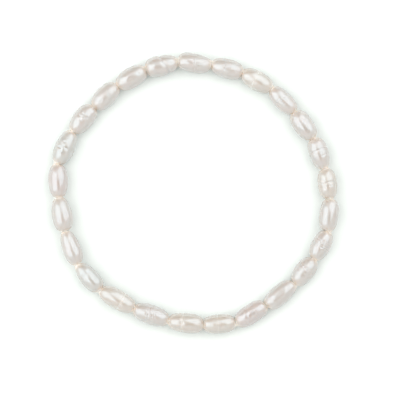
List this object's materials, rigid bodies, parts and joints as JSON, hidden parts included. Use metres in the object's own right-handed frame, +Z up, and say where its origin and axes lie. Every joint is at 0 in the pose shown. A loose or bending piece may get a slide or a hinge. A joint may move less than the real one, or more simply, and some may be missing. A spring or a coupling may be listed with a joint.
{
  "type": "pearl bracelet",
  "caption": "Stretch bracelet of elongated, slightly irregular freshwater pearls strung end to end on an elastic thread, lying flat as one closed loop.",
  "frame": {"origin": "centre of the loop's bounding box, on the surface that the pearls rest on", "axes": "+Z up, square to the plane of the loop; the loop lies along X and Y, with pearl_01 towards +Y and left of the middle, and the others following clockwise as seen from +Z"},
  "size_m": [0.064, 0.062, 0.0044],
  "materials": {
    "nacre": "lustrous ivory nacre with fine growth rings",
    "elastic": "smooth translucent stretch cord"
  },
  "bodies": {
    "root": {"pearl_01": "nacre", "pearl_02": "nacre", "pearl_03": "nacre", "pearl_04": "nacre", "pearl_05": "nacre", "pearl_06": "nacre", "pearl_07": "nacre", "pearl_08": "nacre", "pearl_09": "nacre", "pearl_10": "nacre", "pearl_11": "nacre", "pearl_12": "nacre", "pearl_13": "nacre", "pearl_14": "nacre", "pearl_15": "nacre", "pearl_16": "nacre", "pearl_17": "nacre", "pearl_18": "nacre", "pearl_19": "nacre", "pearl_20": "nacre", "pearl_21": "nacre", "pearl_22": "nacre", "pearl_23": "nacre", "pearl_24": "nacre", "pearl_25": "nacre", "elastic_thread": "elastic"}
  },
  "joints": []
}
